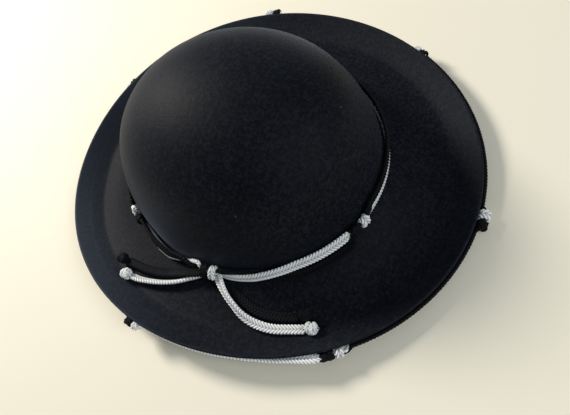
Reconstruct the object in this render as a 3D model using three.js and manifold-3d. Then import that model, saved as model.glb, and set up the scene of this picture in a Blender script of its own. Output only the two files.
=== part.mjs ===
// A felt hat with a round crown and a brim whose edge is turned up all round. Two flat braided cords, one
// white and one black, go round the crown and round the edge of the brim, and are knotted together at even
// steps. At the wearer's right the crown cords are tied, and their four knotted ends lie on the brim.
// Millimetres, +Z up. The wearer looks along -Y, and the brim rests on the plane Z = 0. All is laid out round
// the crown's upright axis, and the group moves it so that the origin is under the middle of the outline.

import * as THREE from 'three';
import * as BufferGeometryUtils from 'three/addons/utils/BufferGeometryUtils.js';
import Module from 'manifold-3d';

const wasm = await Module();
wasm.setup();

// Driving sizes of the felt.
const feltThickness = 2;
const crownHalfWidth = 84;
const crownHalfLength = 95.5;
const crownTop = 104;
const crownFoot = 13.2;
const crownWallStart = 19.4;
const crownRoundness = 2.1;
const crownDrawIn = 0.012;
const tipForward = 3.5;
const footFillet = 5;
const brimHalfWidth = 136.5;
const brimHalfLength = 154.5;
const brimForward = 2;
const backwardTilt = 0.0155;
const rimRun = 18;
const rimFlare = 1.35;
const restHeight = feltThickness;
const restStripWidth = 4;
const edgeRounding = 0.7;
const dent = { x: -16, y: -62, radius: 16, depth: 1.5 };
const outlineShift = 3.5;

// Driving sizes of the cords.
const gap = 0.3;
const crownHalfThickness = 1.5;
const rimHalfThickness = 1.4;
const tailCord = { halfWidth: 3, halfThickness: 1.5 };
const strandRadius = 1.2;
const strandRise = 1.7;

// The knots of the two cords. The angle is where each knot sits round the hat. Each knot has a black lobe
// and a white lobe side by side: whiteSide is 1 where the white lobe has the greater angle, and whiteUp is 1
// where the white strand runs above the black one in the knot. A tilt turns the pair of strands, which lets
// them change places beyond the knot. Spans divide the stretch that follows.
const crownKnots = [
  { angle: 30, whiteSide: 1, whiteUp: -1, spans: 4 },
  { angle: 86, whiteSide: 1, whiteUp: -1, spans: 4 },
  { angle: 143.5, whiteSide: -1, whiteUp: -1, spans: 9 },
  { angle: 190, whiteSide: 1, whiteUp: 1, spans: 9, bow: true },
  { angle: 254.3, whiteSide: 1, whiteUp: -1, spans: 6 },
  { angle: 340, whiteSide: 1, whiteUp: -1, spans: 3 },
];
const rimKnots = [
  { angle: 20.5, whiteSide: 1, whiteUp: 1, spans: 5, middleOut: 4.2, middleUp: -3.6 },
  { angle: 76, whiteSide: 1, whiteUp: 1, spans: 5 },
  { angle: 125, whiteSide: 1, whiteUp: 1, spans: 5, middleOut: 1.2, middleUp: -8.2 },
  { angle: 174, whiteSide: 1, whiteUp: 1, spans: 5, middleUp: -4.6 },
  { angle: 224.5, whiteSide: 1, whiteUp: 1, spans: 5, tilt: 14 },
  { angle: 274, whiteSide: 1, whiteUp: -1, spans: 5, out: 4, middleOut: 4, middleUp: -4.6 },
  { angle: 331, whiteSide: 1, whiteUp: 1, spans: 5, tilt: 14 },
];

// The half sizes of a lobe and where its middle is, out and up from the line that its cord follows. Some
// knots of the rim sit higher or lower and have a place or size of their own.
const crownLobe = { along: 3.9, out: 4.1, up: 4.4, middleOut: 4.6, middleUp: 5.4 };
const bowLobe = { along: 2.9, out: 5, up: 6.1, middleOut: 5.6, middleUp: 6.9 };
const rimLobe = { along: 3.2, out: 3, up: 3.4, middleOut: 3.1, middleUp: -5.1 };

// Where the middle of each crown cord runs: out from the crown's foot, up from it, the lean of its flat side,
// 0 for lying flat and 90 for standing, and its half width, which is less where the two cross over.
const crownRoutes = {
  white: [
    { angle: 0, out: 2.75, up: 4.8, lean: 90, half: 3.2 },
    { angle: 142, out: 2.75, up: 4.8, lean: 90, half: 3.2 },
    { angle: 145, out: 1.9, up: 3.4, lean: 90, half: 2.2 },
    { angle: 151, out: 2.2, up: 3.4, lean: 90, half: 1.6 },
    { angle: 155.5, out: 3.4, up: 2.4, lean: 150, half: 1.8 },
    { angle: 159.5, out: 5.1, up: 2.2, lean: 178, half: 2.6 },
    { angle: 163, out: 5.1, up: 2.2, lean: 178, half: 3 },
    { angle: 171, out: 5.1, up: 2.2, lean: 178, half: 3 },
    { angle: 176, out: 2.6, up: 3.2, lean: 120, half: 1.8 },
    { angle: 180, out: 2.1, up: 7.4, lean: 90, half: 2.6 },
    { angle: 184, out: 2.1, up: 10.2, lean: 90, half: 3.2 },
    { angle: 190, out: 6.6, up: 4.2, lean: 102, half: 3.2 },
    { angle: 208, out: 6.3, up: 4.6, lean: 108, half: 3.2 },
    { angle: 214, out: 6.2, up: 6.3, lean: 112, half: 2.6 },
    { angle: 219, out: 4.6, up: 6.6, lean: 125, half: 2.6 },
    { angle: 225, out: 3.9, up: 5.6, lean: 124, half: 3.2 },
    { angle: 253, out: 3.6, up: 5, lean: 118, half: 3 },
    { angle: 255, out: 2.75, up: 4.8, lean: 90, half: 3.2 },
  ],
  black: [
    { angle: 0, out: 2.4, up: 11.6, lean: 90, half: 3.2 },
    { angle: 142, out: 2.4, up: 11.6, lean: 90, half: 3.2 },
    { angle: 145, out: 5.2, up: 5.9, lean: 96, half: 3.2 },
    { angle: 151, out: 4.4, up: 6.7, lean: 96, half: 3.1 },
    { angle: 155.5, out: 4.4, up: 7.3, lean: 100, half: 2.6 },
    { angle: 159, out: 4.6, up: 7.4, lean: 120, half: 2.8 },
    { angle: 163, out: 4.6, up: 7, lean: 125, half: 3.2 },
    { angle: 171, out: 4.8, up: 7, lean: 122, half: 3.2 },
    { angle: 176, out: 6.2, up: 6.6, lean: 108, half: 2.8 },
    { angle: 180, out: 6.2, up: 4.4, lean: 112, half: 2.8 },
    { angle: 184, out: 4.6, up: 3.6, lean: 125, half: 2.8 },
    { angle: 190, out: 2.2, up: 4.9, lean: 90, half: 3.2 },
    { angle: 208, out: 2.2, up: 4.9, lean: 90, half: 3.2 },
    { angle: 214, out: 3, up: 2.6, lean: 150, half: 1.6 },
    { angle: 219, out: 6.2, up: 2, lean: 178, half: 1.8 },
    { angle: 225, out: 9.8, up: 2.2, lean: 178, half: 3.2 },
    { angle: 253, out: 9.8, up: 2.2, lean: 178, half: 3.2 },
    { angle: 255, out: 2.4, up: 11.6, lean: 90, half: 3.2 },
  ],
};

// Where the middle of each rim cord runs on the underside of the rim: how far in from the felt's edge, how far
// off the felt, and how far its flat side is turned from lying along the felt. The white cord is nearer the
// edge and slips out from under it at the wearer's right front. Across the front the black one is nearer.
const rimRoutes = {
  white: [
    { angle: 0, inward: 3, off: 1.75, turn: 0, half: 2.6 },
    { angle: 200, inward: 3.2, off: 1.75, turn: 0, half: 2.6 },
    { angle: 207, inward: 2.6, off: 1.75, turn: 0, half: 2.6 },
    { angle: 214, inward: 1.4, off: 2, turn: -8, half: 2.7 },
    { angle: 220, inward: -0.5, off: 2.6, turn: -18, half: 2.8 },
    { angle: 224, inward: -0.5, off: 2.6, turn: -18, half: 2.8 },
    { angle: 225, inward: 7.8, off: 1.9, turn: 0, half: 1.7 },
    { angle: 235, inward: 7.6, off: 1.9, turn: 0, half: 2.3 },
    { angle: 285, inward: 7.6, off: 1.9, turn: 0, half: 2.3 },
    { angle: 305, inward: 7.6, off: 2.2, turn: 0, half: 2.3 },
    { angle: 320, inward: 7.6, off: 2.2, turn: 0, half: 2.3 },
    { angle: 330.5, inward: 7.8, off: 2.2, turn: 0, half: 1.6 },
    { angle: 331.5, inward: 3, off: 1.75, turn: 0, half: 2.6 },
  ],
  black: [
    { angle: 0, inward: 8.7, off: 1.75, turn: 0, half: 2.6 },
    { angle: 224, inward: 8.7, off: 1.75, turn: 0, half: 2.6 },
    { angle: 225, inward: 1.6, off: 1.75, turn: 0, half: 2.6 },
    { angle: 330.5, inward: 1.6, off: 1.75, turn: 0, half: 2.6 },
    { angle: 331.5, inward: 8.7, off: 1.75, turn: 0, half: 2.6 },
  ],
};

// The four loose ends. Each lies on the brim from the bow outwards, and a knot closes it.
const tailRoutes = {
  white_right: [
    [-91, -26.6, 19.2], [-93.8, -32, 18.9], [-97.4, -37.6, 18.2], [-100, -43, 16.9], [-102.6, -49, 14.4],
    [-103.9, -56, 12], [-103.6, -64, 11], [-101.8, -72, 10.2], [-97.8, -81.1, 9.4], [-93.6, -90, 8.6],
  ],
  black_right: [
    [-90.6, -25.2, 15.4], [-92, -32, 15], [-93.3, -40, 14.2], [-95.2, -48, 13.3],
    [-96.6, -56, 12.3], [-95.8, -65, 11.3], [-92.6, -75, 10.3], [-88.1, -83.2, 9.4],
  ],
  white_left: [
    [-92.6, -10.4, 15.4], [-97, -4.2, 15.2], [-101.5, 2.4, 14.9], [-105, 9.4, 14.6],
    [-107.8, 17, 14.2], [-110, 25, 13.9], [-111.4, 32, 13.5], [-111.7, 39.2, 13.1],
  ],
  black_left: [
    [-91.6, -10.4, 19.6], [-94.2, -3.6, 19.4], [-96.4, 3.4, 17.8], [-98.4, 10.4, 15.4],
    [-101, 18, 14.5], [-102.6, 27, 14], [-103.4, 37, 13.5], [-103.3, 49, 12.8],
  ],
};
const tailSteps = 8;
const endKnot = { along: 5.1, across: 4, up: 3.6 };

// How finely the curved shapes are divided.
const sectors = 46;
const outerDomeRings = 10;
const innerDomeRings = 5;
const filletTurns = [10, 35, 60];
const brimShares = [0, 0.2, 0.4, 0.6, 0.8, 1];
const rimShares = [0, 0.3, 0.55, 0.8, 1];
const flatRows = [8, 9];
const undersideRows = [0, 2, 4, 6, 8, 9, 10, 11, 12, 13];
const knotSides = 6;
const knotRings = 4;
const simplifyBy = 0.14;

const radians = (degrees) => degrees * Math.PI / 180;
const sinOf = (degrees) => Math.sin(radians(degrees));
const cosOf = (degrees) => Math.cos(radians(degrees));

// Height of the felt's edge above the table, by the angle round the hat. The sides lift and the front dips.
function edgeHeight(angle) {
  const tilt = 2.5 * cosOf(angle - 100);
  const saddle = 4.1 * cosOf(2 * (angle - 3));
  const wave = 1.3 * cosOf(3 * (angle - 55));
  return 16.2 + tilt + saddle + wave;
}

// How far the turned-up rim stands above the lowest line of the brim's upper side.
function rimHeight(angle) {
  return Math.min(10.9 + 1.6 * sinOf(angle) + 0.2 * cosOf(2 * angle), edgeHeight(angle) - restHeight);
}

function valleyHeight(angle) {
  return edgeHeight(angle) - rimHeight(angle);
}

function crownPlan(angle, inset = 0) {
  return new THREE.Vector2((crownHalfWidth - inset) * cosOf(angle), (crownHalfLength - inset) * sinOf(angle));
}

function edgePlan(angle) {
  return new THREE.Vector2(brimHalfWidth * cosOf(angle), brimHalfLength * sinOf(angle) - brimForward);
}

const footHeight = (y) => crownFoot - backwardTilt * y;

// One ring of the crown's dome, for a rise from 0 at its foot to 1 at its top.
function domePoint(angle, rise, inset) {
  const oval = Math.pow(Math.max(0, 1 - Math.pow(rise, crownRoundness)), 1 / crownRoundness);
  const drawn = oval - crownDrawIn * Math.sin(Math.PI * Math.min(1, 1.6 * rise));
  const plan = crownPlan(angle, inset).multiplyScalar(Math.max(0, drawn));
  const start = crownWallStart - backwardTilt * crownPlan(angle).y;
  const height = start + rise * (crownTop - inset - start);
  const point = new THREE.Vector3(plan.x, plan.y - tipForward * rise, height);
  const away = Math.hypot(point.x - dent.x, point.y - dent.y) / dent.radius;
  point.z -= dent.depth * Math.exp(-away * away) * rise;
  return point;
}

// The upper side of the brim along one line from the crown outwards, as [distance from the crown, height].
function brimProfile(angle) {
  const run = edgePlan(angle).distanceTo(crownPlan(angle));
  const foot = footHeight(crownPlan(angle).y);
  const valley = valleyHeight(angle);
  const stripStart = run - rimRun - restStripWidth;
  const profile = [];
  for (const turn of filletTurns) {
    profile.push([footFillet * (1 - cosOf(turn)), foot + footFillet * (1 - sinOf(turn))]);
  }
  for (const share of brimShares) {
    const along = footFillet + share * (stripStart - footFillet);
    profile.push([along, foot + (valley - foot) * (1.5 * share - 0.5 * share ** 3)]);
  }
  for (const share of rimShares) {
    profile.push([run - rimRun * (1 - share), valley + rimHeight(angle) * Math.pow(share, rimFlare)]);
  }
  return profile;
}

// The same line on the underside: each point moves one thickness square to the upper side. Where the felt
// meets the table the underside is flat.
function undersideProfile(profile) {
  return profile.map(([along, height], i) => {
    const before = profile[Math.max(0, i - 1)];
    const after = profile[Math.min(profile.length - 1, i + 1)];
    const slope = Math.atan2(after[1] - before[1], after[0] - before[0]);
    const lean = flatRows.includes(i) ? 0 : slope;
    return [along + feltThickness * Math.sin(lean), height - feltThickness * Math.cos(lean)];
  });
}

// A point at a distance out from the crown along the line that joins crown and edge at this angle.
function brimPoint(angle, [along, height]) {
  const from = crownPlan(angle);
  const outward = edgePlan(angle).sub(from).normalize();
  return new THREE.Vector3(from.x + outward.x * along, from.y + outward.y * along, height);
}

// Builds one closed surface from rings of points. A ring of one point closes an end, and a loop has its last
// ring joined to its first.
function skin(rings, loop = false) {
  const positions = [];
  const starts = [];
  for (const ring of rings) {
    starts.push(positions.length / 3);
    for (const point of ring) positions.push(point.x, point.y, point.z);
  }
  const index = [];
  const count = loop ? rings.length : rings.length - 1;
  for (let r = 0; r < count; r++) {
    const next = (r + 1) % rings.length;
    const sides = Math.max(rings[r].length, rings[next].length);
    for (let s = 0; s < sides; s++) {
      const a = starts[r] + (rings[r].length > 1 ? s : 0);
      const b = starts[r] + (rings[r].length > 1 ? (s + 1) % sides : 0);
      const c = starts[next] + (rings[next].length > 1 ? (s + 1) % sides : 0);
      const d = starts[next] + (rings[next].length > 1 ? s : 0);
      if (a !== b) index.push(a, c, b);
      if (c !== d) index.push(a, d, c);
    }
  }
  const geometry = new THREE.BufferGeometry();
  geometry.setAttribute('position', new THREE.Float32BufferAttribute(positions, 3));
  geometry.setIndex(index);
  geometry.computeVertexNormals();
  return geometry;
}

// Crown and brim are one piece of felt: down the outside of the dome, out along the brim, over the edge and
// back along the inside.
function feltBody() {
  const angles = Array.from({ length: sectors }, (_, i) => 360 * i / sectors);
  const upper = angles.map(brimProfile);
  const under = upper.map(undersideProfile);
  const domeWall = (rings, inset) => Array.from({ length: rings }, (_, i) => {
    const rise = Math.sin(0.5 * Math.PI * (rings - i) / rings);
    return i === 0 ? [domePoint(0, 1, inset)] : angles.map((angle) => domePoint(angle, rise, inset));
  });
  const brimWall = (profiles) => profiles[0].map((_, k) => (
    angles.map((angle, i) => brimPoint(angle, profiles[i][k]))
  ));
  const edge = angles.map((angle, i) => {
    const [top, bottom] = [upper[i].at(-1), under[i].at(-1)];
    const slope = Math.atan2(top[0] - bottom[0], top[1] - bottom[1]);
    const along = (top[0] + bottom[0]) / 2 + edgeRounding * Math.cos(slope);
    return brimPoint(angle, [along, (top[1] + bottom[1]) / 2 - edgeRounding * Math.sin(slope)]);
  });
  const underWall = brimWall(under).filter((_, k) => undersideRows.includes(k));
  const outside = [...domeWall(outerDomeRings, 0), ...brimWall(upper)];
  const inside = [...domeWall(innerDomeRings, feltThickness), ...underWall];
  return skin([...outside, edge, ...inside.reverse()]);
}

// The line that a pair of cords follows round the hat: its place, the way square to it, and the millimetres
// for each degree.
function crownLine(angle) {
  const plan = crownPlan(angle);
  const outward = new THREE.Vector3(crownHalfLength * cosOf(angle), crownHalfWidth * sinOf(angle), 0);
  return { foot: new THREE.Vector3(plan.x, plan.y, footHeight(plan.y)), outward: outward.normalize() };
}

function rimLine(angle) {
  const plan = edgePlan(angle);
  const outward = new THREE.Vector3(brimHalfLength * cosOf(angle), brimHalfWidth * sinOf(angle), 0);
  return { foot: new THREE.Vector3(plan.x, plan.y, edgeHeight(angle)), outward: outward.normalize() };
}

function millimetresPerDegree(line, angle) {
  return line(angle + 0.5).foot.distanceTo(line(angle - 0.5).foot);
}

// Reads a route at any angle by going straight from one of its rows to the next.
function routeAt(route, angle) {
  const after = route.findIndex((row) => row.angle > angle);
  const next = after < 0 ? { ...route[0], angle: 360 } : route[after];
  const last = after < 0 ? route.at(-1) : route[after - 1];
  const share = (angle - last.angle) / (next.angle - last.angle);
  const mixed = {};
  for (const key of Object.keys(last)) mixed[key] = last[key] + share * (next[key] - last[key]);
  return mixed;
}

// Where a rim cord's middle is, out from the felt's edge and up from it, and how its flat side leans.
function layUnderRim({ angle, inward, off, turn, half }) {
  const share = 1 - inward / rimRun;
  const height = rimHeight(angle);
  const slope = Math.atan(rimFlare * height * Math.pow(share, rimFlare - 1) / rimRun);
  const away = feltThickness + off;
  return {
    out: away * Math.sin(slope) - inward,
    up: height * (Math.pow(share, rimFlare) - 1) - away * Math.cos(slope),
    lean: THREE.MathUtils.radToDeg(slope) + turn,
    half,
  };
}

// How far a knot reaches to either side, and how far away from it an angle is, as a share of that reach.
const lobeOf = (knot, lobe) => (knot.bow ? bowLobe : { ...lobe, ...knot });
const reachOf = (knot, lobe) => 2 * lobeOf(knot, lobe).along + gap;

function sharesBeyond(line, knot, lobe, angle) {
  const turn = Math.abs(((angle - knot.angle + 540) % 360) - 180);
  return turn * millimetresPerDegree(line, knot.angle) / reachOf(knot, lobe);
}

// The angles at which a cord has a section: close together at the knots, and even between them. Counted in
// reaches, a cord is held by the knot up to heldTo, and is on its own route from partedAt and at its whole
// width from openAt.
const heldTo = 1.02;
const partedAt = 1.4;
const openAt = 1.75;

function sectionAngles(line, knots, lobe) {
  const angles = [];
  knots.forEach((knot, i) => {
    const following = knots[(i + 1) % knots.length];
    const end = following.angle + (following.angle < knot.angle ? 360 : 0);
    const steps = (k) => [heldTo, partedAt, openAt].map((share) => (
      share * reachOf(k, lobe) / millimetresPerDegree(line, k.angle)
    ));
    const leaving = steps(knot).map((step) => knot.angle + step);
    const arriving = steps(following).map((step) => end - step).reverse();
    const even = (arriving[0] - leaving.at(-1)) / knot.spans;
    angles.push(...leaving);
    for (let s = 1; s < knot.spans; s++) angles.push(leaving.at(-1) + s * even);
    angles.push(...arriving);
  });
  return angles.map((angle) => (angle + 360) % 360).sort((a, b) => a - b);
}

// One cord as a closed ring of flat sections. Inside a knot it is drawn in to a round strand.
function cordRing({ line, knots, lobe, routes, lay, halfThickness }, colour, extra = 0) {
  const rings = sectionAngles(line, knots, lobe).map((angle) => {
    const { foot, outward } = line(angle);
    const place = lay({ ...routeAt(routes[colour], angle), angle });
    const beyond = (knot) => sharesBeyond(line, knot, lobe, angle);
    const nearest = knots.reduce((best, knot) => (beyond(knot) < beyond(best) ? knot : best));
    const held = THREE.MathUtils.clamp((partedAt - beyond(nearest)) / (partedAt - heldTo), 0, 1);
    const narrow = THREE.MathUtils.clamp((openAt - beyond(nearest)) / (openAt - partedAt), 0, 1);
    const { middleOut, middleUp } = lobeOf(nearest, lobe);
    const rise = strandRise * nearest.whiteUp * (colour === 'white' ? 1 : -1);
    const tilt = nearest.tilt ?? 0;
    const out = THREE.MathUtils.lerp(place.out, middleOut - rise * sinOf(tilt), held);
    const up = THREE.MathUtils.lerp(place.up, middleUp + rise * cosOf(tilt), held);
    const width = THREE.MathUtils.lerp(place.half, strandRadius, narrow) + extra;
    const thickness = THREE.MathUtils.lerp(halfThickness, 0.87 * strandRadius, narrow) + extra;
    const centre = foot.clone().addScaledVector(outward, out);
    centre.z += up;
    const across = outward.clone().multiplyScalar(cosOf(place.lean)).setZ(sinOf(place.lean));
    const face = outward.clone().multiplyScalar(sinOf(place.lean)).setZ(-cosOf(place.lean));
    const corners = [[1, 0], [0.6, -1], [-0.6, -1], [-1, 0], [-0.6, 1], [0.6, 1]];
    return corners.map(([w, t]) => (
      centre.clone().addScaledVector(across, w * width).addScaledVector(face, t * thickness)
    ));
  });
  return skin(rings, true);
}

// The lobe of one colour at one knot.
function knotLobe({ line, lobe }, knot, colour) {
  const size = lobeOf(knot, lobe);
  const side = knot.whiteSide * (colour === 'white' ? 1 : -1);
  const shift = side * (size.along + 0.5 * gap) / millimetresPerDegree(line, knot.angle);
  const { foot, outward } = line(knot.angle + shift);
  const forward = new THREE.Vector3(-outward.y, outward.x, 0);
  const centre = foot.clone().addScaledVector(outward, size.middleOut);
  centre.z += size.middleUp;
  const geometry = new THREE.SphereGeometry(1, knotSides, knotRings);
  geometry.rotateX(Math.PI / 2);
  const place = new THREE.Matrix4().makeBasis(outward, forward, new THREE.Vector3(0, 0, 1));
  place.scale(new THREE.Vector3(size.out, size.along, size.up));
  place.setPosition(centre);
  return geometry.applyMatrix4(place);
}

function toSolid(geometry) {
  const bare = geometry.clone();
  for (const name of Object.keys(bare.attributes)) if (name !== 'position') bare.deleteAttribute(name);
  const merged = BufferGeometryUtils.mergeVertices(bare, 1e-4);
  const vertProperties = new Float32Array(merged.attributes.position.array);
  const triVerts = new Uint32Array(merged.index.array);
  return new wasm.Manifold(new wasm.Mesh({ numProp: 3, vertProperties, triVerts }));
}

function toGeometry(solid) {
  const mesh = solid.getMesh();
  const geometry = new THREE.BufferGeometry();
  geometry.setAttribute('position', new THREE.Float32BufferAttribute(mesh.vertProperties, 3));
  geometry.setIndex(Array.from(mesh.triVerts));
  geometry.computeVertexNormals();
  return geometry;
}

// The largest body of a solid, without the crumbs that a cut can leave.
const mainBody = (solid) => (
  solid.decompose().reduce((best, body) => (body.volume() > best.volume() ? body : best))
);

// One cord with its own lobes joined on. Each lobe has a way through it for the strand of the other cord.
function knottedCord(course, colour) {
  const other = colour === 'white' ? 'black' : 'white';
  const way = toSolid(cordRing(course, other, gap));
  let solid = toSolid(cordRing(course, colour));
  for (const knot of course.knots) {
    solid = solid.add(toSolid(knotLobe(course, knot, colour)).subtract(way));
  }
  return toGeometry(mainBody(solid.simplify(simplifyBy)));
}

// A loose end: a flat section carried along its route.
function tail(route) {
  const path = new THREE.CatmullRomCurve3(route.map((point) => new THREE.Vector3(...point)));
  const { halfWidth, halfThickness } = tailCord;
  const section = new THREE.Shape();
  for (let i = 0; i < 8; i++) {
    const around = 45 * i + 22.5;
    const [x, y] = [halfThickness * cosOf(around) / cosOf(22.5), halfWidth * sinOf(around) / cosOf(22.5)];
    if (i === 0) section.moveTo(x, y);
    else section.lineTo(x, y);
  }
  return new THREE.ExtrudeGeometry(section, { steps: tailSteps, extrudePath: path });
}

// The knot at the far end of a loose end lies just beyond it, on the brim.
function tailKnot(route) {
  const end = new THREE.Vector3(...route.at(-1));
  const forward = end.clone().sub(new THREE.Vector3(...route.at(-2))).setZ(0).normalize();
  const geometry = new THREE.SphereGeometry(1, knotSides, knotRings);
  geometry.scale(endKnot.along, endKnot.across, endKnot.up);
  geometry.rotateZ(Math.atan2(forward.y, forward.x));
  const centre = end.clone().addScaledVector(forward, endKnot.along + gap);
  geometry.translate(centre.x, centre.y, end.z + endKnot.up - tailCord.halfThickness);
  return geometry;
}

const hat = new THREE.Group();
hat.position.set(0, outlineShift, 0);

function addPiece(name, geometry, material) {
  const mesh = new THREE.Mesh(geometry, material);
  mesh.name = name;
  hat.add(mesh);
}

const blackFelt = new THREE.MeshStandardMaterial({ color: 0x111419, roughness: 0.95, metalness: 0 });
const braids = {
  white: new THREE.MeshStandardMaterial({ color: 0xe8e8e4, roughness: 0.7, metalness: 0 }),
  black: new THREE.MeshStandardMaterial({ color: 0x14161a, roughness: 0.6, metalness: 0 }),
};

const crownCourse = {
  line: crownLine,
  knots: crownKnots,
  lobe: crownLobe,
  routes: crownRoutes,
  lay: (place) => place,
  halfThickness: crownHalfThickness,
};
const rimCourse = {
  line: rimLine,
  knots: rimKnots,
  lobe: rimLobe,
  routes: rimRoutes,
  lay: layUnderRim,
  halfThickness: rimHalfThickness,
};

addPiece('felt_body', feltBody(), blackFelt);
for (const colour of ['white', 'black']) {
  addPiece(`crown_cord_${colour}`, knottedCord(crownCourse, colour), braids[colour]);
  addPiece(`rim_cord_${colour}`, knottedCord(rimCourse, colour), braids[colour]);
}
for (const [name, route] of Object.entries(tailRoutes)) {
  const colour = name.split('_')[0];
  addPiece(`tail_${name}`, tail(route), braids[colour]);
  addPiece(`end_knot_${name}`, tailKnot(route), braids[colour]);
}

export default hat;
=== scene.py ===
"""A black felt hat with two knotted braids round its crown and two round its brim, dressed over its solids.

Shapes are worked out in millimetres round the crown's upright axis, as the solids are, and turned into metres
when a mesh is made. Angles are in degrees, from +X counter-clockwise seen from above.
"""

import math

import bpy
import numpy as np
from bpy.props import FloatProperty, FloatVectorProperty, PointerProperty
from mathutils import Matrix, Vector


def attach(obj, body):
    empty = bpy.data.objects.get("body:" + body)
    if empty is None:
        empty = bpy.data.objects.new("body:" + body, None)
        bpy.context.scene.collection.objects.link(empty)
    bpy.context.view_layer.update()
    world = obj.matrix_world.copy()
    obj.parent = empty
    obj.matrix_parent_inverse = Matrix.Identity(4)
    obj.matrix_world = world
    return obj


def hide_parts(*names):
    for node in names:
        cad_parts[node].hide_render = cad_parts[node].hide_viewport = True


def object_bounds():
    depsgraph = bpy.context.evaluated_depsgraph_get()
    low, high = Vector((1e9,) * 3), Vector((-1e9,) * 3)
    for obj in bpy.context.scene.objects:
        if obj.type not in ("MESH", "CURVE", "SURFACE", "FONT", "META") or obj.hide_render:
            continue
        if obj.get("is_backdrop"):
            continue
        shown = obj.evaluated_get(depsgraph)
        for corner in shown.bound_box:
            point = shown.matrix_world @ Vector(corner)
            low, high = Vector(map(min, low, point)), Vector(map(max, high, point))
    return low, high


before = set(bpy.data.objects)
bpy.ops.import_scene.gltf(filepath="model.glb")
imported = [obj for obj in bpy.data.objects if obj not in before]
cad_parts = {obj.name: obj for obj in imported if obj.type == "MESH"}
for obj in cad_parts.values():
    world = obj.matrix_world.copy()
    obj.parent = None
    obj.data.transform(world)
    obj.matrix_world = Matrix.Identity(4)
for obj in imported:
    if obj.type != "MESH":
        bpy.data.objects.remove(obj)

bl_info = {
    "name": "Felt hat with knotted braids",
    "version": (1, 0, 0),
    "blender": (4, 5, 0),
    "location": "3D View > Sidebar > Hat",
    "description": "Builds the felt, the braids, their knots and loose ends, and the stage",
    "category": "Object",
}

SOLIDS_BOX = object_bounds()
MM = 0.001
CROWN_AXIS = np.array([0.0, 3.5, 0.0])
GAP = 0.3

# Where the knots sit round the hat. white_side is 1 where the white turn has the greater angle, and
# white_up is 1 where the white strand runs above the black one inside. A knot may hold sizes of its own, for
# both turns or for the turn of one colour.
CROWN_KNOTS = [
    {"angle": 30, "white_side": 1, "white_up": -1},
    {"angle": 86, "white_side": 1, "white_up": -1},
    {"angle": 143.5, "white_side": -1, "white_up": -1, "out": 3.4,
     "white": {"along": 3.0, "slant": -36, "out": 3.0, "up": 4.8}},
    {"angle": 190.4, "white_side": 1, "white_up": 1, "bow": True, "white": {"half_width": 2.3}},
    {"angle": 254.3, "white_side": 1, "white_up": -1,
     "white": {"along": 3.5, "out": 3.8, "up": 4.0}, "black": {"along": 4.2}},
    {"angle": 340, "white_side": 1, "white_up": -1},
]
RIM_KNOTS = [
    {"angle": 20.5, "white_side": 1, "white_up": 1, "middle_out": 4.2, "middle_up": -3.6},
    {"angle": 76, "white_side": 1, "white_up": 1},
    {"angle": 125, "white_side": 1, "white_up": 1, "middle_out": 1.2, "middle_up": -8.2},
    {"angle": 174, "white_side": 1, "white_up": 1, "middle_up": -4.6, "white": {"along": 2.4}},
    {"angle": 224.5, "white_side": 1, "white_up": 1, "tilt": 14, "along": 4.4,
     "white": {"along": 2.5}, "black": {"along": 4.8}},
    {"angle": 274, "white_side": 1, "white_up": -1, "out": 4.2, "middle_out": 3.8, "middle_up": -4.6},
    {"angle": 331, "white_side": 1, "white_up": 1, "tilt": 14, "white": {"along": 2.6, "up": 3.0}},
]

# The half sizes of a knot's turns, and their middle, out and up from the line that the braids follow.
CROWN_WRAP = {"along": 3.9, "out": 4.1, "up": 4.4, "middle_out": 4.6, "middle_up": 5.4}
BOW_WRAP = {"along": 2.9, "out": 5.0, "up": 6.1, "middle_out": 5.6, "middle_up": 6.9}
RIM_WRAP = {"along": 3.2, "out": 3.4, "up": 3.4, "middle_out": 2.7, "middle_up": -5.0}

# Inside a knot the two strands are drawn in and run one above the other, each this far from the middle.
CROWN_STRAND = {"rise": 0.8, "half_width": 0.9, "half_thickness": 0.9}
RIM_STRAND = {"rise": 0.8, "half_width": 1.5, "half_thickness": 1.0}

# Shares of a knot's reach to each side: a braid's rows nearer than the first are left out, it still has its
# own width at the second, and it is a drawn-in strand at the third.
KNOT_CLEARED = 1.15
KNOT_ENTRY = 1.2
KNOT_INSIDE = 0.8

# A knot's turns slant by this many degrees, by up to the spread more or less from one knot to the next.
WRAP_SLANT = 10
SLANT_SPREAD = 6
SLANT_STEP = 2.3

# How far the flat side of a turn follows its slant.
SLANT_FOLLOWED = 0.8

# The bundle inside a knot is narrower than the middle of its turns, and shorter, by this much on each side.
CORE_INSET = 0.2
CORE_SHORTER = 1.4

# The number of steps round a turn and along the bundle.
WRAP_STEPS = 72
CORE_STEPS = 13

# What the pair of braids at the crown and the pair at the rim go by. The ease is how far along its length a
# braid's route is smoothed, in quarter degrees.
CROWN_BAND = {"knots": CROWN_KNOTS, "wrap": CROWN_WRAP, "wrap_half_thickness": 1.9,
              "strand": CROWN_STRAND, "ease": 5}
RIM_BAND = {"knots": RIM_KNOTS, "wrap": RIM_WRAP, "wrap_half_thickness": 1.6, "strand": RIM_STRAND, "ease": 3}

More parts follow.
